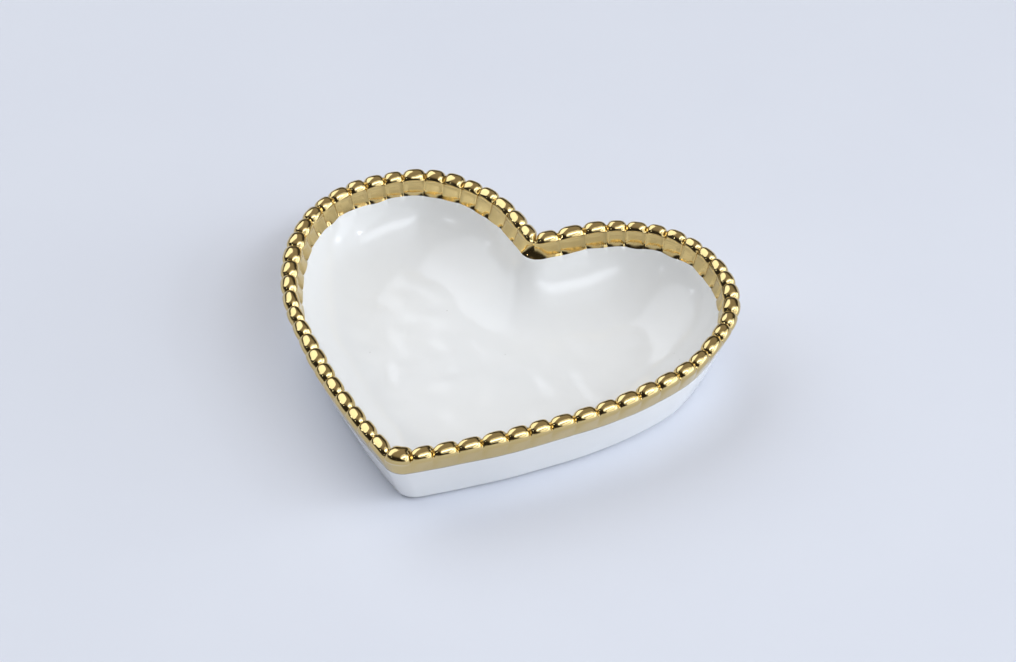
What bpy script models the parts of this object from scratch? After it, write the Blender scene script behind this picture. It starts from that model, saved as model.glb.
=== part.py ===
"""Heart-shaped trinket dish: white glazed porcelain with a gilded, beaded rim.

The dish stands on Z = 0 with its tip towards -Y and its cleft towards +Y, and X = 0 is its mirror plane.
Every section is measured from the crest line, the heart that runs along the middle of the rim:
an inset is the distance inwards from that line, and a negative inset is outwards.
"""

import math

import bmesh
import bpy
from mathutils import Vector

MM = 0.001
GAP = 0.3  # clearance between touching pieces

# Heart outline along the middle of the rim, in mm and degrees. Headings turn left from +X.
HALF_WIDTH = 67.5
LOBE_RADIUS = 34.5
SHOULDER_RADIUS = 76.5
SIDE_RADIUS = 250.0
SIDE_END = 51.0        # heading where the long side becomes the shoulder
SHOULDER_END = 85.0    # heading where the shoulder becomes the lobe
LOBE_END = 221.0       # heading of the straight run down into the cleft
TIP_RADIUS = 5.6
CLEFT_RADIUS = 1.6
TIGHTEST_CLEFT = 0.5
FLOOR_CENTRE = 0.0     # Y of the point the floor's facets run to

# Wall section, in mm
HEIGHT = 25.4
DOME_RADIUS = 2.5      # of the rim's rounded top
DOME_INSET = 0.0       # of the middle of that top
OUTER_FLARE = 23.5     # degrees the outer face leans out
BODY_BOTTOM = 0.8
CORNER = 0.8           # rounding between the outer face and the underside
FLOOR_TOP = 4.6
INNER_DRAFT = 0.22     # inwards per mm down, where the inner face leaves the rim
COVE_REACH = 18.5      # how far in the bowl's curve runs before the floor is flat
COVE_STEPS = 7
GOLD_OUTSIDE = 17.0    # Z where the gilding ends on the outer face
GOLD_INSIDE = 18.8     # Z where it ends on the inner face
DOME_STEPS = 7

# Beads
BEADS_EACH_SIDE = 30
TIP_BEAD_SHARE = 0.62  # half the tip bead, as a share of one bead's length
BEAD_DEPTH = 1.1       # how far the grooves go down between beads
BEAD_STEPS = (0.0, 0.16, 0.5, 0.84)
TIP_BEAD_STEPS = (0.0, 0.35, 0.75)

# Foot ring, in mm
FOOT_OUTER = 8.4
FOOT_INNER = 12.9
FOOT_HEIGHT = BODY_BOTTOM - GAP
FOOT_EASE = 0.2

BODY_STEPS = (5, 9, 8, 18, 3, 3)  # facets along each stretch of the half heart


def outward(heading):
    return Vector((math.sin(heading), -math.cos(heading)))


def along(heading):
    return Vector((math.cos(heading), math.sin(heading)))


def half_heart(inset):
    """The right half of the outline at an inset, tip to cleft, as functions of 0..1 with their lengths."""
    side_end, shoulder_end, lobe_end = (math.radians(a) for a in (SIDE_END, SHOULDER_END, LOBE_END))
    tip_radius = TIP_RADIUS + max(0.0, -inset)
    cleft_radius = max(TIGHTEST_CLEFT, CLEFT_RADIUS + inset)

    lobe = Vector((HALF_WIDTH - LOBE_RADIUS, 0))
    shoulder = lobe + (LOBE_RADIUS - SHOULDER_RADIUS) * outward(shoulder_end)
    side = shoulder + (SHOULDER_RADIUS - SIDE_RADIUS) * outward(side_end)
    reach = SIDE_RADIUS - inset - tip_radius
    tip = Vector((0, side.y - math.sqrt(reach**2 - side.x**2)))
    tip_end = math.atan2(tip.x - side.x, side.y - tip.y)

    lobe_last = lobe + (LOBE_RADIUS - inset) * outward(lobe_end)
    run = -(lobe_last.x + cleft_radius * math.sin(lobe_end)) / math.cos(lobe_end)
    run_last = lobe_last + run * along(lobe_end)
    cleft = run_last + cleft_radius * outward(lobe_end)

    def arc(centre, radius, start, end):
        return (lambda t: centre + radius * outward(start + t * (end - start))), abs(radius * (end - start))

    return [
        arc(tip, tip_radius, 0, tip_end),
        arc(side, SIDE_RADIUS - inset, tip_end, side_end),
        arc(shoulder, SHOULDER_RADIUS - inset, side_end, shoulder_end),
        arc(lobe, LOBE_RADIUS - inset, shoulder_end, lobe_end),
        ((lambda t: lobe_last.lerp(run_last, t)), run),
        arc(cleft, -cleft_radius, lobe_end, math.pi),
    ]


def centring():
    """The move that centres the dish on the origin, front to back."""
    proud = DOME_RADIUS - DOME_INSET
    front, back = half_heart(-proud)[0][0](0).y, LOBE_RADIUS + proud
    return Vector((0, -(front + back) / 2))


SHIFT = centring()


def stretch_at(distance):
    """Which stretch of the crest line a distance from the tip falls on, and how far along it."""
    stretches = half_heart(0)
    for index, (_, length) in enumerate(stretches):
        if distance <= length or index == len(stretches) - 1:
            return index, min(1.0, distance / length)
        distance -= length


def body_stations():
    stations = [(index, step / count) for index, count in enumerate(BODY_STEPS) for step in range(count)]
    return [(station, 0.0) for station in stations + [(len(BODY_STEPS) - 1, 1.0)]]


def rim_stations():
    """Stations along the beads, each with 0 on a bead's back and 1 in the groove between two beads."""
    total = sum(length for _, length in half_heart(0))
    pitch = total / (BEADS_EACH_SIDE + TIP_BEAD_SHARE)
    tip_half = pitch * TIP_BEAD_SHARE
    marks = [(step * tip_half, step**4) for step in TIP_BEAD_STEPS]
    for bead in range(BEADS_EACH_SIDE):
        start = tip_half + bead * pitch
        marks += [(start + step * pitch, abs(2 * step - 1) ** 4) for step in BEAD_STEPS]
    marks.append((total, 1.0))
    return [(stretch_at(distance), groove) for distance, groove in marks]


DOME_Z = HEIGHT - DOME_RADIUS


def outer_inset(z):
    """The outer face, which runs straight down from where it touches the domed rim."""
    flare = math.radians(OUTER_FLARE)
    touch = DOME_Z - DOME_RADIUS * math.sin(flare)
    return DOME_INSET - DOME_RADIUS * math.cos(flare) + math.tan(flare) * (touch - z)


def inner_point(angle):
    """(inset, Z) on the bowl's curve: 0 is beside the rim's dome, a right angle is where the floor begins."""
    depth = DOME_Z - FLOOR_TOP
    down = depth * math.sin(angle)
    inset = DOME_INSET + DOME_RADIUS + INNER_DRAFT * down + COVE_REACH * (1 - math.cos(angle))
    return inset, DOME_Z - down


def inner_angle(z):
    return math.asin((DOME_Z - z) / (DOME_Z - FLOOR_TOP))


def body_section():
    """(share of the way out from the floor's centre, inset, Z), from the underside round to the floor."""
    corner_inset = outer_inset(BODY_BOTTOM)
    section = [(0.0, FOOT_INNER, BODY_BOTTOM), (1.0, FOOT_INNER, BODY_BOTTOM)]
    section.append((1.0, corner_inset + CORNER, BODY_BOTTOM))
    section.append((1.0, corner_inset + 0.2 * CORNER, BODY_BOTTOM + 0.3 * CORNER))
    section.append((1.0, outer_inset(BODY_BOTTOM + CORNER), BODY_BOTTOM + CORNER))
    section.append((1.0, outer_inset(GOLD_OUTSIDE), GOLD_OUTSIDE))
    start = inner_angle(GOLD_INSIDE)
    for step in range(COVE_STEPS + 1):
        inset, z = inner_point(start + (math.pi / 2 - start) * step / COVE_STEPS)
        section.append((1.0, inset, z))
    section.append((0.0, inset, FLOOR_TOP))
    return section


def rim_section():
    """(inset, Z, how much of the bead's depth the groove takes sideways, and downwards), outside first."""
    flare = math.radians(OUTER_FLARE)
    low_outside, low_inside = GOLD_OUTSIDE + GAP, GOLD_INSIDE + GAP
    section = [(outer_inset(low_outside), low_outside, 0.0, 0.0)]
    for step in range(DOME_STEPS + 1):
        angle = -flare + (math.pi + flare) * step / DOME_STEPS
        sideways, up = -math.cos(angle), math.sin(angle)
        inset, z = DOME_INSET + DOME_RADIUS * sideways, DOME_Z + DOME_RADIUS * up
        section.append((inset, z, 0.6 * sideways, max(0.0, up)))
    section.append((inner_point(inner_angle(low_inside))[0], low_inside, 0.0, 0.0))
    return section + section[:1]


def foot_section():
    outer, inner, top, ease = FOOT_OUTER, FOOT_INNER, FOOT_HEIGHT, FOOT_EASE
    section = [(outer + ease, 0.0), (outer, ease), (outer, top), (inner, top), (inner, ease), (inner - ease, 0.0)]
    section = [(inset, z, 0.0, 0.0) for inset, z in section]
    return section + section[:1]


def spot(station, inset):
    """The point of the outline at an inset that lies beside a station of the crest line."""
    index, share = station
    return half_heart(inset)[index][0](share) + SHIFT


def wrapped_half(name, stations, rows, place):
    """A grid with one column for each station and one line for each row, wrapped onto the half dish."""
    grid = bmesh.new()
    columns, lines = len(stations) - 1, rows - 1
    bmesh.ops.create_grid(grid, x_segments=columns, y_segments=lines, size=0.5)
    for vert in grid.verts:
        column = round((vert.co.x + 0.5) * columns)
        vert.co = place(stations[column], round((vert.co.y + 0.5) * lines)) * MM
        if column in (0, columns):
            vert.co.x = 0
    bmesh.ops.remove_doubles(grid, verts=grid.verts, dist=0.00001)
    mesh = bpy.data.meshes.new(name)
    grid.to_mesh(mesh)
    grid.free()
    return mesh


def mirrored_piece(name, mesh, material, collection, sharp_degrees):
    mesh.shade_smooth()
    mesh.set_sharp_from_angle(angle=math.radians(sharp_degrees))
    mesh.materials.append(material)
    piece = bpy.data.objects.new(name, mesh)
    collection.objects.link(piece)
    mirror = piece.modifiers.new("mirror", "MIRROR")
    mirror.use_axis = (True, False, False)
    mirror.use_clip = True
    mirror.merge_threshold = 0.00002
    return piece


def make_body(material, collection):
    section = body_section()
    centre = Vector((0, FLOOR_CENTRE))

    def place(mark, row):
        station, _ = mark
        share, inset, z = section[row]
        flat = centre.lerp(spot(station, inset), share)
        return Vector((flat.x, flat.y, z))

    mesh = wrapped_half("dish_body", body_stations(), len(section), place)
    return mirrored_piece("dish_body", mesh, material, collection, 50)


def make_ring(name, section, stations, material, collection):
    def place(mark, row):
        station, groove = mark
        inset, z, sideways, down = section[row]
        cut = BEAD_DEPTH * groove
        flat = spot(station, inset - cut * sideways)
        return Vector((flat.x, flat.y, z - cut * down))

    mesh = wrapped_half(name, stations, len(section), place)
    return mirrored_piece(name, mesh, material, collection, 50)


def new_material(name, colour, roughness, metallic=0.0):
    material = bpy.data.materials.new(name)
    material.use_nodes = True
    shader = material.node_tree.nodes["Principled BSDF"]
    shader.inputs["Base Color"].default_value = (*colour, 1)
    shader.inputs["Roughness"].default_value = roughness
    shader.inputs["Metallic"].default_value = metallic
    material.diffuse_color = (*colour, 1)
    return material


def main():
    for item in list(bpy.data.objects):
        bpy.data.objects.remove(item, do_unlink=True)
    dish = bpy.data.collections.new("heart_trinket_dish")
    bpy.context.scene.collection.children.link(dish)

    glaze = new_material("white_glaze", (0.86, 0.86, 0.86), 0.12)
    lustre = new_material("gold_lustre", (0.72, 0.52, 0.25), 0.15, 1.0)
    bisque = new_material("bare_porcelain", (0.78, 0.75, 0.70), 0.7)

    make_body(glaze, dish)
    make_ring("beaded_rim", rim_section(), rim_stations(), lustre, dish)
    make_ring("foot_ring", foot_section(), body_stations(), bisque, dish)


main()
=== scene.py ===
import bisect
import math
import random

import bmesh
import bpy
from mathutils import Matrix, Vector, noise


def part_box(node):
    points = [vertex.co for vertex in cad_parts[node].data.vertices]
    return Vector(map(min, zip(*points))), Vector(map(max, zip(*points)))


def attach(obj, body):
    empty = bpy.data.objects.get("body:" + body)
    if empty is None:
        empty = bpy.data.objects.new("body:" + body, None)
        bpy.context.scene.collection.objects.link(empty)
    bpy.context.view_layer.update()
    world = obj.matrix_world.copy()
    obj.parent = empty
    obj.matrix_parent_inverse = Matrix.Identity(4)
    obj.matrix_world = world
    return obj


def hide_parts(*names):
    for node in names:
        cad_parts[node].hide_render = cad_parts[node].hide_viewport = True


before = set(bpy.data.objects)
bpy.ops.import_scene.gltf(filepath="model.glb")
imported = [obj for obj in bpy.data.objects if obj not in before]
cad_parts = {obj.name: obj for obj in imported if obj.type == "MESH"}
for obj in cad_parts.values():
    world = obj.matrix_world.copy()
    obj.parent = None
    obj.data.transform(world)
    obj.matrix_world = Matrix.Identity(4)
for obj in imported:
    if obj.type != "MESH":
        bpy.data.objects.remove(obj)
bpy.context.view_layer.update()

mm = 0.001
weldDistance = 0.002 * mm
noiseRange = (0.3, 0.7)    # where most of a noise texture's values lie
rimLow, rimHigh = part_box("beaded_rim")


# the heart that every ring of the dish follows, in mm and degrees
heart = {
    "halfWidth": 67.5,
    "lobeRadius": 34.5,
    "shoulderRadius": 76.5,
    "sideRadius": 250.0,
    "sideEnd": 51.0,         # headings where one arc hands over to the next, turning left from +X
    "shoulderEnd": 85.0,
    "lobeEnd": 221.0,
    "tipRadius": 5.6,
    "tipSoftening": 0.8,     # how fast the tip rounds out further in
    "softenFrom": 4.0,
    "cleftRadius": 1.6,
    "tightestCleft": 0.5,
    "wander": 0.15,          # how far the hand-finished outline strays
    "wanderTurns": 3.0,      # how often it does so in a lap
    "wanderSeed": 3.1,
    "bulges": [              # and where it stands out for good: mark, spread and height
        (0.15, 0.07, 0.5),
        (0.235, 0.025, 0.7),
        (0.40, 0.035, 1.0),
        (0.613, 0.022, 1.1),
        (0.84, 0.09, 0.4),
    ],
}


def outward(heading):
    return Vector((math.sin(heading), -math.cos(heading)))


def along(heading):
    return Vector((math.cos(heading), math.sin(heading)))


def halfHeart(inset, softness=0.0):
    # right half from tip to cleft: (place along the stretch as a function of 0..1, length)
    sideEnd, shoulderEnd, lobeEnd = (math.radians(heart[k]) for k in ("sideEnd", "shoulderEnd", "lobeEnd"))
    softening = softness * heart["tipSoftening"] * max(0.0, inset - heart["softenFrom"])
    tipRadius = heart["tipRadius"] + max(0.0, -inset) + softening
    cleftRadius = max(heart["tightestCleft"], heart["cleftRadius"] + inset)
    lobe = Vector((heart["halfWidth"] - heart["lobeRadius"], 0))
    shoulder = lobe + (heart["lobeRadius"] - heart["shoulderRadius"]) * outward(shoulderEnd)
    side = shoulder + (heart["shoulderRadius"] - heart["sideRadius"]) * outward(sideEnd)
    reach = heart["sideRadius"] - inset - tipRadius
    tip = Vector((0, side.y - math.sqrt(reach**2 - side.x**2)))
    tipEnd = math.atan2(tip.x - side.x, side.y - tip.y)
    lobeLast = lobe + (heart["lobeRadius"] - inset) * outward(lobeEnd)
    run = -(lobeLast.x + cleftRadius * math.sin(lobeEnd)) / math.cos(lobeEnd)
    runLast = lobeLast + run * along(lobeEnd)
    cleft = runLast + cleftRadius * outward(lobeEnd)

    def arc(centre, radius, start, end):
        return (lambda t: centre + radius * outward(start + t * (end - start))), abs(radius * (end - start))

    return [
        arc(tip, tipRadius, 0, tipEnd),
        arc(side, heart["sideRadius"] - inset, tipEnd, sideEnd),
        arc(shoulder, heart["shoulderRadius"] - inset, sideEnd, shoulderEnd),
        arc(lobe, heart["lobeRadius"] - inset, shoulderEnd, lobeEnd),
        ((lambda t: lobeLast.lerp(runLast, t)), run),
        arc(cleft, -cleftRadius, lobeEnd, math.pi),
    ]


crest = halfHeart(0)
crestLengths = [length for _, length in crest]
crestLength = sum(crestLengths)


def stretchAt(share):
    # which stretch of the crest a share of its length falls on, and how far along it
    distance = share * crestLength
    for index, length in enumerate(crestLengths):
        if distance <= length or index == len(crestLengths) - 1:
            return index, min(1.0, distance / length)
        distance -= length


def roundNoise(mark, turns, seed):
    # smooth and the same at mark 0 and mark 1
    angle = 2 * math.pi * mark
    return noise.noise(Vector((math.cos(angle) * turns, math.sin(angle) * turns, seed)))


def apart(mark, middle):
    # the shorter way round between two marks
    return (mark - middle + 0.5) % 1 - 0.5


def strayAt(mark):
    bulge = 0.0
    for middle, spread, height in heart["bulges"]:
        bulge += height * math.exp(-(apart(mark, middle) / spread)**2)
    return 2 * heart["wander"] * roundNoise(mark, heart["wanderTurns"], heart["wanderSeed"]) - bulge


def onHeart(mark, inset, softness=0.0):
    # mark 0 is the tip, rising round the right lobe to the cleft at 0.5 and back down the left side
    share = 2 * min(mark, 1 - mark)
    index, t = stretchAt(share)
    point = halfHeart(inset + strayAt(mark), softness)[index][0](t)
    return Vector((point.x if mark <= 0.5 else -point.x, point.y + shiftY))


# the wall's section: each face is an inset from the crest line, a height and the way it looks
section = {
    "domeRadius": 2.5,       # the rounded top of the rim
    "domeInset": 0.0,
    "outerFlare": 23.5,      # degrees
    "underside": 0.8,
    "corner": 0.8,
    "floorTop": 4.6,
    "innerDraft": 0.22,
    "coveReach": 18.5,
    "goldOutside": 17.0,     # heights where the gilding ends
    "goldInside": 18.8,
    "goldWaver": 0.3,        # the brushed edge isn't quite straight, mostly inside
    "waverOutside": (9, 7.7),    # turns in a lap, and seed
    "waverInside": (11, 5.3),
    "skin": 0.9,             # from the wall in to the hidden face under the gilding's edge
}
flare = math.radians(section["outerFlare"])
domeHeight = rimHigh.z / mm - section["domeRadius"]
touchHeight = domeHeight - section["domeRadius"] * math.sin(flare)
bowlDepth = domeHeight - section["floorTop"]

shiftY = 0.0
crestFront = halfHeart(section["domeInset"] - section["domeRadius"])[0][0](0).y
shiftY = rimLow.y / mm - crestFront


def outerFace(z):
    # inset, height and outward direction as (inset, height)
    touch = section["domeInset"] - section["domeRadius"] * math.cos(flare)
    return touch + math.tan(flare) * (touchHeight - z), z, (-math.cos(flare), -math.sin(flare))


def domeFace(angle):
    # the rounded top: 0 looks straight out and a half turn looks straight in
    sideways, up = -math.cos(angle), math.sin(angle)
    radius = section["domeRadius"]
    return section["domeInset"] + radius * sideways, domeHeight + radius * up, (sideways, up)


def innerFace(angle):
    # 0 is beside the dome and a right angle is where the floor begins
    down = bowlDepth * math.sin(angle)
    draft, reach = section["innerDraft"], section["coveReach"]
    inset = section["domeInset"] + section["domeRadius"] + draft * down + reach * (1 - math.cos(angle))
    across = bowlDepth * math.cos(angle)
    up = draft * across + reach * math.sin(angle)
    size = math.hypot(across, up)
    return inset, domeHeight - down, (across / size, up / size)


def goldEdgeOutside(mark):
    return section["goldOutside"] + 0.5 * section["goldWaver"] * roundNoise(mark, *section["waverOutside"])


def goldEdgeInside(mark):
    return section["goldInside"] + 2 * section["goldWaver"] * roundNoise(mark, *section["waverInside"])


def innerAngle(z):
    return math.asin((domeHeight - z) / bowlDepth)


# beads: thirty a side and one at the tip
beads = {
    "eachSide": 30,
    "tipRight": 0.62,        # lengths, as shares of a middling bead
    "tipLeft": 0.34,
    "sideExtra": 0.55,       # what a side holds with its part of the tip bead, over eachSide
    "tipRise": 0.7,          # mm that the tip bead stands proud
    "cleftDepth": 1.2,       # mm deeper that the groove in the cleft goes
    "cleftSpread": 0.006,    # over this much of a lap
    "sideBead": 1.04,
    "lobeBead": 0.93,
    "cleftBead": 1.1,
    "lobesFrom": 0.5,        # where along a side the lobe's beads and the cleft's beads start
    "cleftFrom": 0.9,
    "uneven": 0.09,
    "seed": 14,
    "depth": 1.25,           # mm that the grooves go down
    "fullDepthFrom": 0.75,   # sine of the angle on the rounded top where they reach it
    "flatness": 3.4,         # how long the back of a bead stays straight
    "roundness": 2.0,        # how suddenly its ends drop
    "waist": 0.05,           # rounding at the bottom of a groove, as a share of half a bead
    "fluteDepth": 0.42,      # mm of shallow flute that runs down the wall under each groove
    "fluteFade": 1.4,
    "faintFlute": 0.10,
    "faintReach": 7.0,
    "innerFlute": 0.6,       # the flutes go deeper on the inner face
    "innerReach": 5.6,       # and die out just under the gilding
}


def beadEdges():
    # marks of the grooves from 0 to 1; half of the tip bead lies at each end
    rng = random.Random(beads["seed"])
    lengths = [beads["tipRight"]]
    for side in (1, -1):
        run = []
        for index in range(beads["eachSide"]):
            share = (index + 0.5) / beads["eachSide"]
            length = beads["sideBead"] if share < beads["lobesFrom"] else beads["lobeBead"]
            if share > beads["cleftFrom"]:
                length = beads["cleftBead"]
            run.append(length * (1 + rng.uniform(-1, 1) * beads["uneven"]))
        tipShare = beads["tipRight"] if side == 1 else beads["tipLeft"]
        scale = (beads["eachSide"] + beads["sideExtra"] - tipShare) / sum(run)
        run = [length * scale for length in run]
        lengths += run if side == 1 else run[::-1]
    lengths.append(beads["tipLeft"])
    total = sum(lengths)
    edges = [0.0]
    for length in lengths:
        edges.append(edges[-1] + length / total)
    return edges[1:-1]


grooves = beadEdges()


def beadPlace(mark):
    # -1..1 along the bead that a mark is on, and the bead's number
    index = bisect.bisect_right(grooves, mark)
    low = grooves[index - 1] if index > 0 else grooves[-1] - 1
    high = grooves[index] if index < len(grooves) else grooves[0] + 1
    return 2 * (mark - low) / (high - low) - 1, index % len(grooves)


def pillow(place):
    return 1 - (1 - place**beads["flatness"])**(1 / beads["roundness"])


def grooveAt(mark):
    # 0 on a bead's back and 1 in the groove, whose bottom is rounded
    place, _ = beadPlace(mark)
    fromGroove = math.hypot(1 - min(1.0, abs(place)), beads["waist"])
    return pillow(max(0.0, 1 - fromGroove)) / pillow(1 - beads["waist"])


def smooth(value, low, high):
    t = min(1.0, max(0.0, (value - low) / (high - low)))
    return t * t * (3 - 2 * t)


def fluteBelow(distance):
    faint = beads["faintFlute"] * max(0.0, 1 - distance / beads["faintReach"])
    return beads["fluteDepth"] * math.exp(-distance / beads["fluteFade"]) + faint


def fluteInside(distance):
    return beads["innerFlute"] * (1 - smooth(distance, 0.5 * beads["innerReach"], beads["innerReach"]))


def cleftCut(mark):
    return beads["cleftDepth"] * math.exp(-((mark - 0.5) / beads["cleftSpread"])**2)


def reliefOnDome(angle):
    # full depth over the top, easing to the flute's depth at both faces
    outside = angle < math.pi / 2
    lowest = fluteBelow(0) if outside else fluteInside(0)
    height = smooth(math.sin(angle), -math.sin(flare) if outside else 0.0, beads["fullDepthFrom"])
    return lowest + (beads["depth"] - lowest) * height


# unevenness of a hand-pressed, hand-smoothed dish
hand = {
    "wallWave": 0.22,        # mm, over wallWaveLength
    "wallWaveLength": 24.0,
    "floorDimple": 0.16,     # soft hammered dimples in the floor
    "dimpleSpacing": 7.5,
    "floorSwell": 0.18,
    "swellLength": 34.0,
    "floorSeeds": (Vector((4.2, 1.7, 9.1)), Vector((8.5, 2.2, 0.4))),
    "beadProud": 0.18,       # mm that a bead stands out from the band
    "beadSize": 0.12,        # mm that one bead stands higher or lower than the next
    "beadStep": 1.37,        # how far apart two beads are in that noise
}


def wallWave(point):
    return 2 * hand["wallWave"] * noise.noise(point / hand["wallWaveLength"])


def floorLift(point):
    spot = Vector((point.x, point.y, 0))
    dimpleSeed, swellSeed = hand["floorSeeds"]
    dimple = noise.noise(spot / hand["dimpleSpacing"] + dimpleSeed)
    swell = noise.noise(spot / hand["swellLength"] + swellSeed)
    return 2 * hand["floorDimple"] * dimple + 2 * hand["floorSwell"] * swell


def placed(mark, face, relief, softness=0.0):
    # a section face put on the outline at a mark, sunk by relief along its own direction
    inset, z, (sideways, up) = face
    point = onHeart(mark, inset, softness)
    wave = wallWave(Vector((point.x, point.y, z)))
    push = wave * abs(sideways) - relief
    point = onHeart(mark, inset + push * sideways, softness)
    return Vector((point.x, point.y, z + push * up))


def hiddenOutside(mark):
    # a little way into the wall, where the rim's skin and the dish's skin both end
    inset, z, look = outerFace(goldEdgeOutside(mark))
    return placed(mark, (inset + section["skin"], z, look), 0)


def hiddenInside(mark):
    inset, z, look = innerFace(innerAngle(goldEdgeInside(mark)))
    return placed(mark, (inset - section["skin"], z, look), 0)


def wrappedGrid(name, marks, rows, place):
    # one column for each mark and one line for each row, wrapped into a closed skin
    grid = bmesh.new()
    columns, lines = len(marks) - 1, rows - 1
    bmesh.ops.create_grid(grid, x_segments=columns, y_segments=lines, size=0.5)
    for vert in grid.verts:
        column = round((vert.co.x + 0.5) * columns)
        vert.co = place(marks[column], round((vert.co.y + 0.5) * lines)) * mm
    bmesh.ops.remove_doubles(grid, verts=grid.verts, dist=weldDistance)
    bmesh.ops.recalc_face_normals(grid, faces=grid.faces)
    mesh = bpy.data.meshes.new(name)
    grid.to_mesh(mesh)
    grid.free()
    piece = bpy.data.objects.new(name, mesh)
    bpy.context.scene.collection.objects.link(piece)
    return piece


def finishedPiece(piece, material, node, sharpAngle):
    piece.data.shade_smooth()
    piece.data.set_sharp_from_angle(angle=math.radians(sharpAngle))
    piece.data.materials.append(material)
    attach(piece, "root")
    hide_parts(node)
    print("made", piece.name, len(piece.data.polygons), "faces")
    return piece


def linear(hexColour):
    channels = [int(hexColour[i:i + 2], 16) / 255 for i in (1, 3, 5)]
    return [c / 12.92 if c <= 0.04045 else ((c + 0.055) / 1.055)**2.4 for c in channels] + [1.0]


def addNode(tree, kind, inputs=None, **settings):
    node = tree.nodes.new(kind)
    for key, value in settings.items():
        setattr(node, key, value)
    for key, value in (inputs or {}).items():
        if isinstance(value, bpy.types.NodeSocket):
            tree.links.new(value, node.inputs[key])
        else:
            node.inputs[key].default_value = value
    return node


def newMaterial(name):
    material = bpy.data.materials.new(name)
    material.use_nodes = True
    tree = material.node_tree
    tree.nodes.clear()
    place = addNode(tree, "ShaderNodeTexCoord").outputs["Object"]
    return material, tree, place


def closeMaterial(tree, shader):
    output = addNode(tree, "ShaderNodeOutputMaterial")
    tree.links.new(shader.outputs[0], output.inputs["Surface"])


def perMetre(millimetres):
    # a texture's scale for features this far apart
    return 1 / (millimetres * mm)


glaze = {
    "white": "#eeefef",
    "warmWhite": "#efefed",
    "toneSpacing": 28.0,
    "roughness": (0.12, 0.20),
    "rippleSpacing": 3.2,    # orange peel of a fired glaze
    "rippleHeight": 0.010,
    "pinhole": "#8a8378",
    "pinholeSpacing": 9.0,
    "pinholeEdge": (0.012, 0.03),    # how far a pinhole reaches, as shares of that spacing
    "pinholeStrength": 0.45,
    "ior": 1.5,
}


def porcelainGlaze():
    # glossy tin-white glaze: a clear, slightly rippled skin over a warm white body
    material, tree, place = newMaterial("white_porcelain_glaze")
    tone = addNode(tree, "ShaderNodeTexNoise", {
        "Vector": place, "Scale": perMetre(glaze["toneSpacing"]), "Detail": 2.0})
    white = addNode(tree, "ShaderNodeMix", {
        "Factor": tone.outputs["Fac"],
        "A": linear(glaze["white"]), "B": linear(glaze["warmWhite"])}, data_type="RGBA")
    pinholes = addNode(tree, "ShaderNodeTexVoronoi", {
        "Vector": place, "Scale": perMetre(glaze["pinholeSpacing"])}, feature="F1")
    dark = addNode(tree, "ShaderNodeMapRange", {
        "Value": pinholes.outputs["Distance"],
        "From Min": glaze["pinholeEdge"][0], "From Max": glaze["pinholeEdge"][1],
        "To Min": glaze["pinholeStrength"], "To Max": 0.0})
    colour = addNode(tree, "ShaderNodeMix", {
        "Factor": dark.outputs[0],
        "A": white.outputs["Result"], "B": linear(glaze["pinhole"])}, data_type="RGBA")
    gloss = addNode(tree, "ShaderNodeMapRange", {
        "Value": tone.outputs["Fac"], "From Min": noiseRange[0], "From Max": noiseRange[1],
        "To Min": glaze["roughness"][0], "To Max": glaze["roughness"][1]})
    ripple = addNode(tree, "ShaderNodeTexNoise", {
        "Vector": place, "Scale": perMetre(glaze["rippleSpacing"]), "Detail": 1.5})
    bump = addNode(tree, "ShaderNodeBump", {
        "Height": ripple.outputs["Fac"], "Strength": 0.5, "Distance": glaze["rippleHeight"] * mm})
    shader = addNode(tree, "ShaderNodeBsdfPrincipled", {
        "Base Color": colour.outputs["Result"], "Roughness": gloss.outputs[0],
        "Normal": bump.outputs[0], "IOR": glaze["ior"]})
    closeMaterial(tree, shader)
    return material


lustre = {
    "gold": "#d8c18a",
    "deepGold": "#cfb67b",
    "strokeSpacing": 5.0,
    "roughness": (0.06, 0.14),
    "rippleSpacing": 1.4,    # the brushed-on lustre follows the glaze's own ripple
    "rippleHeight": 0.010,
}


def goldLustre():
    # bright gold lustre fired on glaze: a mirror with a soft, slightly brushed unevenness
    material, tree, place = newMaterial("fired_gold_lustre")
    stroke = addNode(tree, "ShaderNodeTexNoise", {
        "Vector": place, "Scale": perMetre(lustre["strokeSpacing"]), "Detail": 3.0})
    colour = addNode(tree, "ShaderNodeMix", {
        "Factor": stroke.outputs["Fac"],
        "A": linear(lustre["gold"]), "B": linear(lustre["deepGold"])}, data_type="RGBA")
    gloss = addNode(tree, "ShaderNodeMapRange", {
        "Value": stroke.outputs["Fac"], "From Min": noiseRange[0], "From Max": noiseRange[1],
        "To Min": lustre["roughness"][0], "To Max": lustre["roughness"][1]})
    ripple = addNode(tree, "ShaderNodeTexNoise", {
        "Vector": place, "Scale": perMetre(lustre["rippleSpacing"]), "Detail": 2.0})
    bump = addNode(tree, "ShaderNodeBump", {
        "Height": ripple.outputs["Fac"], "Strength": 0.5, "Distance": lustre["rippleHeight"] * mm})
    shader = addNode(tree, "ShaderNodeBsdfPrincipled", {
        "Base Color": colour.outputs["Result"], "Metallic": 1.0, "Roughness": gloss.outputs[0],
        "Normal": bump.outputs[0]})
    closeMaterial(tree, shader)
    return material


bisque = {
    "clay": "#e6e2da",
    "darkClay": "#cfc8bc",
    "rubSpacing": 12.0,
    "grain": 0.6,
    "grainHeight": 0.03,
    "roughness": 0.72,
}


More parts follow.
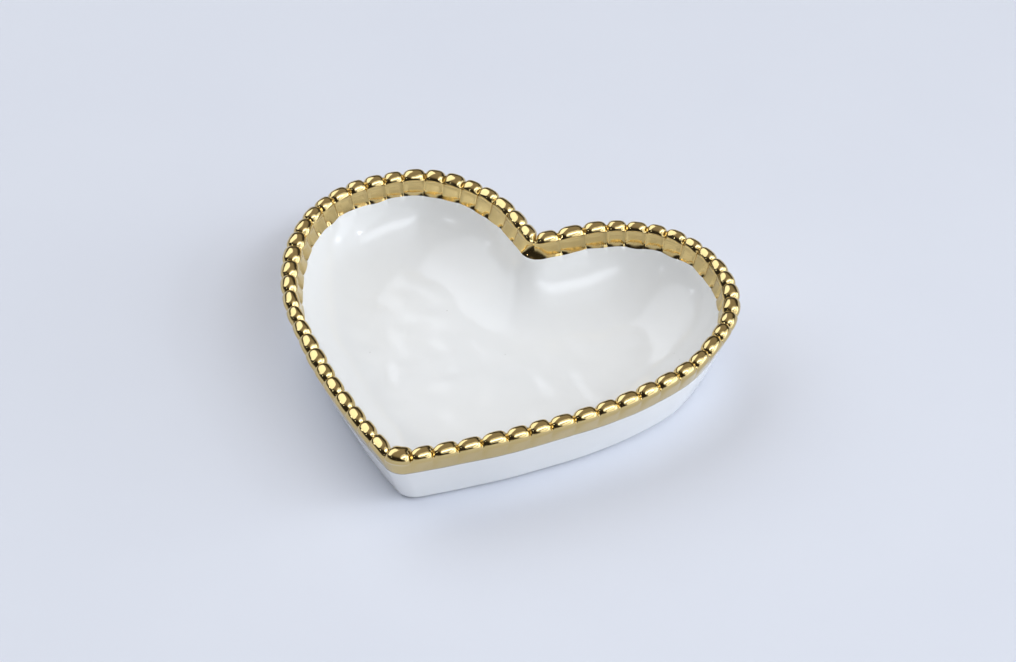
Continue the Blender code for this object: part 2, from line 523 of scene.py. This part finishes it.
def barePorcelain():
    # unglazed porcelain where the kiln shelf touched it: chalky, with a fine tooth and a few darker rubs
    material, tree, place = newMaterial("bare_porcelain")
    grain = addNode(tree, "ShaderNodeTexNoise", {
        "Vector": place, "Scale": perMetre(bisque["grain"]), "Detail": 4.0})
    rub = addNode(tree, "ShaderNodeTexNoise", {
        "Vector": place, "Scale": perMetre(bisque["rubSpacing"]), "Detail": 3.0})
    colour = addNode(tree, "ShaderNodeMix", {
        "Factor": rub.outputs["Fac"],
        "A": linear(bisque["clay"]), "B": linear(bisque["darkClay"])}, data_type="RGBA")
    bump = addNode(tree, "ShaderNodeBump", {
        "Height": grain.outputs["Fac"], "Strength": 0.8, "Distance": bisque["grainHeight"] * mm})
    shader = addNode(tree, "ShaderNodeBsdfPrincipled", {
        "Base Color": colour.outputs["Result"], "Roughness": bisque["roughness"],
        "Normal": bump.outputs[0]})
    closeMaterial(tree, shader)
    return material


# the dish, from the middle of its underside round to the middle of its floor
dish = {
    "underRows": 6,
    "stationsPerBead": 11,
    "crowding": 0.55,        # how much closer the columns stand by the grooves
    "cornerRows": 5,
    "wallRows": 18,
    "coveRows": 30,
    "floorRows": 26,
    "floorCentre": Vector((0.0, 6.0)),
    "tipSoftens": (0.0, 0.6),      # shares of the cove over which the tip rounds out
    "dimplesRise": (0.35, 1.0),    # and over which the floor's dimples come in
    "sharpAngle": 50,        # degrees
}


def beadMarks(stations):
    # marks of every column, closer together towards the grooves
    marks = [0.0]
    crowding = dish["crowding"]
    edges = [grooves[-1] - 1] + grooves + [grooves[0] + 1]
    for low, high in zip(edges, edges[1:]):
        for step in range(stations):
            t = step / stations
            eased = 0.5 - 0.5 * math.cos(math.pi * t)
            mark = low + (high - low) * ((1 - crowding) * t + crowding * eased)
            if 0.0 < mark < 1.0:
                marks.append(mark)
    return sorted(set(round(mark, 7) for mark in marks)) + [1.0]


def dishRows():
    # one entry a row: a function from a mark to its place
    rows = []
    underside, corner = section["underside"], section["corner"]
    cornerInset = outerFace(underside)[0]

    def underRow(share):
        def place(mark):
            edge = placed(mark, (cornerInset + corner, underside, (-1.0, 0.0)), 0)
            middle = Vector((dish["floorCentre"].x, dish["floorCentre"].y, underside))
            return middle.lerp(edge, share)
        return place

    def cornerRow(share):
        # a quarter turn from the underside up to the wall
        def place(mark):
            turn = share * (math.pi / 2 - flare)
            wall = outerFace(underside + corner)
            start = cornerInset + corner
            inset = start + (wall[0] - start) * math.sin(turn) / math.cos(flare)
            z = underside + corner * (1 - math.cos(turn)) / (1 - math.sin(flare))
            return placed(mark, (inset, z, (-math.sin(turn), 0.0)), fluteShade(mark, z))
        return place

    def fluteShade(mark, z):
        return grooveAt(mark) * fluteBelow((touchHeight - z) / math.cos(flare))

    def wallRow(share):
        def place(mark):
            low, high = underside + corner, goldEdgeOutside(mark)
            z = low + (high - low) * share
            return placed(mark, outerFace(z), fluteShade(mark, z))
        return place

    def bowlRow(share):
        def place(mark):
            start = innerAngle(goldEdgeInside(mark))
            angle = start + (math.pi / 2 - start) * share
            face = innerFace(angle)
            relief = grooveAt(mark) * fluteInside(domeHeight - face[1])
            point = placed(mark, face, relief, smooth(share, *dish["tipSoftens"]))
            point.z += floorLift(point) * smooth(share, *dish["dimplesRise"])
            return point
        return place

    def floorRow(share):
        def place(mark):
            edge = placed(mark, innerFace(math.pi / 2), 0, 1.0)
            middle = Vector((dish["floorCentre"].x, dish["floorCentre"].y, section["floorTop"]))
            point = edge.lerp(middle, share)
            point.z += floorLift(point)
            return point
        return place

    rows += [underRow(step / dish["underRows"]) for step in range(dish["underRows"] + 1)]
    rows += [cornerRow((step + 1) / dish["cornerRows"]) for step in range(dish["cornerRows"])]
    rows += [wallRow((step + 1) / dish["wallRows"]) for step in range(dish["wallRows"])]
    rows += [hiddenOutside, hiddenInside]
    rows += [bowlRow(step / dish["coveRows"]) for step in range(dish["coveRows"] + 1)]
    rows += [floorRow((step + 1) / dish["floorRows"]) for step in range(dish["floorRows"])]
    return rows


columnMarks = beadMarks(dish["stationsPerBead"])
rowsOfDish = dishRows()
porcelainDish = wrappedGrid(
    "porcelainDish", columnMarks, len(rowsOfDish), lambda mark, row: rowsOfDish[row](mark))
finishedPiece(porcelainDish, porcelainGlaze(), "dish_body", dish["sharpAngle"])


# the gilded, beaded rim
rim = {
    "bandRows": 9,
    "domeRows": 26,
    "innerRows": 7,
    "proudOver": (-0.38, 0.25),    # sines of the angles between which the beads swell out of the band
    "sharpAngle": 80,        # degrees
}


def rimRows():
    rows = []

    def beadRise(mark):
        # each bead stands a touch higher or lower than its neighbours
        _, number = beadPlace(mark)
        if number == 0:
            return beads["tipRise"]
        height = noise.noise(Vector((number * hand["beadStep"], 0.5, 2.5)))
        return hand["beadProud"] + 2 * hand["beadSize"] * height

    def bandRow(share):
        def place(mark):
            low = goldEdgeOutside(mark)
            z = low + (touchHeight - low) * share
            relief = grooveAt(mark) * fluteBelow((touchHeight - z) / math.cos(flare))
            return placed(mark, outerFace(z), relief)
        return place

    def domeRow(angle):
        def place(mark):
            groove = grooveAt(mark)
            rise = beadRise(mark) * (1 - groove) * smooth(math.sin(angle), *rim["proudOver"])
            return placed(mark, domeFace(angle), groove * (reliefOnDome(angle) + cleftCut(mark)) - rise)
        return place

    def innerRow(share):
        def place(mark):
            angle = innerAngle(goldEdgeInside(mark)) * share
            face = innerFace(angle)
            relief = grooveAt(mark) * (fluteInside(domeHeight - face[1]) + cleftCut(mark) * (1 - share))
            return placed(mark, face, relief)
        return place

    rows += [bandRow(step / rim["bandRows"]) for step in range(rim["bandRows"])]
    rows += [domeRow(-flare + (math.pi + flare) * step / rim["domeRows"]) for step in range(rim["domeRows"])]
    rows += [innerRow(step / rim["innerRows"]) for step in range(rim["innerRows"] + 1)]
    rows += [hiddenInside, hiddenOutside]
    return rows + rows[:1]


rowsOfRim = rimRows()
gildedRim = wrappedGrid(
    "gildedBeadRim", columnMarks, len(rowsOfRim), lambda mark, row: rowsOfRim[row](mark))
finishedPiece(gildedRim, goldLustre(), "beaded_rim", rim["sharpAngle"])


# the foot ring it stands on, in mm as insets from the crest line
foot = {
    "outer": 8.4,
    "inner": 12.9,
    "ease": 0.25,
    "easeRows": 4,
    "stationsPerBead": 4,
    "sharpAngle": 60,        # degrees
}


def footRows():
    top = section["underside"]
    ease = foot["ease"]
    corners = [
        (foot["outer"] + ease, ease, math.pi, 1.5 * math.pi),
        (foot["inner"] - ease, ease, -0.5 * math.pi, 0.0),
    ]
    rows = [(foot["inner"], top), (foot["outer"], top)]
    for inset, z, start, end in corners:
        for step in range(foot["easeRows"] + 1):
            angle = start + (end - start) * step / foot["easeRows"]
            rows.append((inset + ease * math.cos(angle), z + ease * math.sin(angle)))
    return rows + rows[:1]


footSection = footRows()
footMarks = beadMarks(foot["stationsPerBead"])


def footPlace(mark, row):
    inset, z = footSection[row]
    return placed(mark, (inset, z, (-1.0, 0.0)), 0)


footRing = wrappedGrid("bareFootRing", footMarks, len(footSection), footPlace)
finishedPiece(footRing, barePorcelain(), "foot_ring", foot["sharpAngle"])


# table, light and camera
studio = {
    "table": "#e4e7ef",
    "tableMottle": "#e0e3ec",
    "mottleSpacing": 60.0,   # mm
    "tableRoughness": 0.6,
    "tint": (0.935, 0.995, 1.08),      # daylight-balanced lamps, a touch cool
    "tableRadius": 3.0,      # metres
    "nearSky": [             # the room by height, as the sine of the elevation: dark behind the camera
        (0.00, "#e0e3e9"),
        (0.12, "#dadde4"),
        (0.18, "#2b2825"),
        (0.66, "#35312d"),
        (0.86, "#9a938b"),
        (1.00, "#a49d95"),
    ],
    "farSky": [              # and a dim, warm ceiling on the far side
        (0.00, "#dadde3"),
        (0.06, "#d0d3da"),
        (0.10, "#3a3733"),
        (0.42, "#45413c"),
        (0.58, "#a29b92"),
        (1.00, "#a49d95"),
    ],
    "skyChange": (-0.2, 0.4),    # where near turns to far, as the cosine from straight away
    # lights: azimuth from the front and elevation in degrees, distance and size in metres, radiance
    "lights": {
        "lowGlow": (98, 20, 2.0, (3.4, 1.4), 1.2),
        "lowSoftbox": (110, 14, 2.0, (1.4, 0.6), 1.6),
        "highGlow": (74, 48, 2.0, (3.2, 1.9), 0.85),
        "stripLight": (66, 50, 2.0, (2.2, 0.42), 4.0),
        "leftGlow": (-105, 44, 2.0, (3.0, 1.9), 1.6),
        "rightStrobe": (96, 35, 1.8, (0.15, 0.12), 25),
        "rightSpill": (121, 17, 1.8, (0.08, 0.08), 25),
        "leftStrobe": (-34, 31, 1.8, (0.12, 0.10), 12),
        "leftSpill": (-81, 18, 1.8, (0.10, 0.10), 12),
    },
}


def direction(azimuth, elevation):
    a, e = math.radians(azimuth), math.radians(elevation)
    return Vector((math.sin(a) * math.cos(e), -math.cos(a) * math.cos(e), math.sin(e)))


def paintedTable():
    # matt white board with a cool cast: dull, with a barely visible mottle
    material, tree, place = newMaterial("matt_white_board")
    mottle = addNode(tree, "ShaderNodeTexNoise", {
        "Vector": place, "Scale": perMetre(studio["mottleSpacing"]), "Detail": 3.0})
    colour = addNode(tree, "ShaderNodeMix", {
        "Factor": mottle.outputs["Fac"],
        "A": linear(studio["table"]), "B": linear(studio["tableMottle"])}, data_type="RGBA")
    shader = addNode(tree, "ShaderNodeBsdfPrincipled", {
        "Base Color": colour.outputs["Result"], "Roughness": studio["tableRoughness"]})
    closeMaterial(tree, shader)
    return material


def addTable():
    disc = bmesh.new()
    bmesh.ops.create_circle(disc, cap_ends=True, radius=studio["tableRadius"], segments=96)
    mesh = bpy.data.meshes.new("table")
    disc.to_mesh(mesh)
    disc.free()
    table = bpy.data.objects.new("table", mesh)
    bpy.context.scene.collection.objects.link(table)
    mesh.materials.append(paintedTable())


def addWorld():
    world = bpy.data.worlds.new("studio")
    bpy.context.scene.world = world
    world.use_nodes = True
    tree = world.node_tree
    tree.nodes.clear()
    look = addNode(tree, "ShaderNodeTexCoord").outputs["Generated"]
    height = addNode(tree, "ShaderNodeSeparateXYZ", {"Vector": look}).outputs["Z"]
    away = addNode(tree, "ShaderNodeVectorMath", operation="DOT_PRODUCT")
    tree.links.new(look, away.inputs[0])
    away.inputs[1].default_value = direction(camera["azimuth"] + 180, 0)
    side = addNode(tree, "ShaderNodeMapRange", {
        "Value": away.outputs["Value"],
        "From Min": studio["skyChange"][0], "From Max": studio["skyChange"][1]})
    skies = []
    for stops in (studio["nearSky"], studio["farSky"]):
        ramp = addNode(tree, "ShaderNodeValToRGB", {"Fac": height})
        elements = ramp.color_ramp.elements
        while len(elements) < len(stops):
            elements.new(0.5)
        for element, (place, colour) in zip(elements, stops):
            element.position = place
            element.color = linear(colour)
        skies.append(ramp.outputs["Color"])
    room = addNode(tree, "ShaderNodeMix", {
        "Factor": side.outputs[0], "A": skies[0], "B": skies[1]}, data_type="RGBA")
    background = addNode(tree, "ShaderNodeBackground", {"Color": room.outputs["Result"], "Strength": 1.0})
    output = addNode(tree, "ShaderNodeOutputWorld")
    tree.links.new(background.outputs[0], output.inputs["Surface"])


def addLights():
    for name, (azimuth, elevation, distance, size, radiance) in studio["lights"].items():
        lamp = bpy.data.lights.new(name, "AREA")
        lamp.shape = "ELLIPSE"
        lamp.size, lamp.size_y = size
        lamp.color = studio["tint"]
        lamp.energy = radiance * math.pi * lamp.size * lamp.size_y * math.pi / 4
        light = bpy.data.objects.new(name, lamp)
        toLight = direction(azimuth, elevation)
        light.location = toLight * distance
        light.rotation_euler = toLight.to_track_quat("Z", "Y").to_euler()
        light.visible_camera = False
        bpy.context.scene.collection.objects.link(light)


camera = {
    "lookAt": (8.94, 1.69, 23.85),  # mm
    "azimuth": 22.08,
    "elevation": 39.35,
    "distance": 1441.5,
    "lens": 172.56,
    "sensor": 36.0,
    "clipStart": 0.01,       # metres
}


def addCamera():
    data = bpy.data.cameras.new("camera")
    data.lens = camera["lens"]
    data.sensor_width = camera["sensor"]
    data.clip_start = camera["clipStart"]
    seen = bpy.data.objects.new("camera", data)
    back = direction(camera["azimuth"], camera["elevation"])
    seen.location = (Vector(camera["lookAt"]) + back * camera["distance"]) * mm
    seen.rotation_euler = back.to_track_quat("Z", "Y").to_euler()
    bpy.context.scene.collection.objects.link(seen)
    bpy.context.scene.camera = seen


addTable()
addWorld()
addLights()
addCamera()
bpy.context.scene.view_settings.view_transform = "Standard"
print("studio ready")
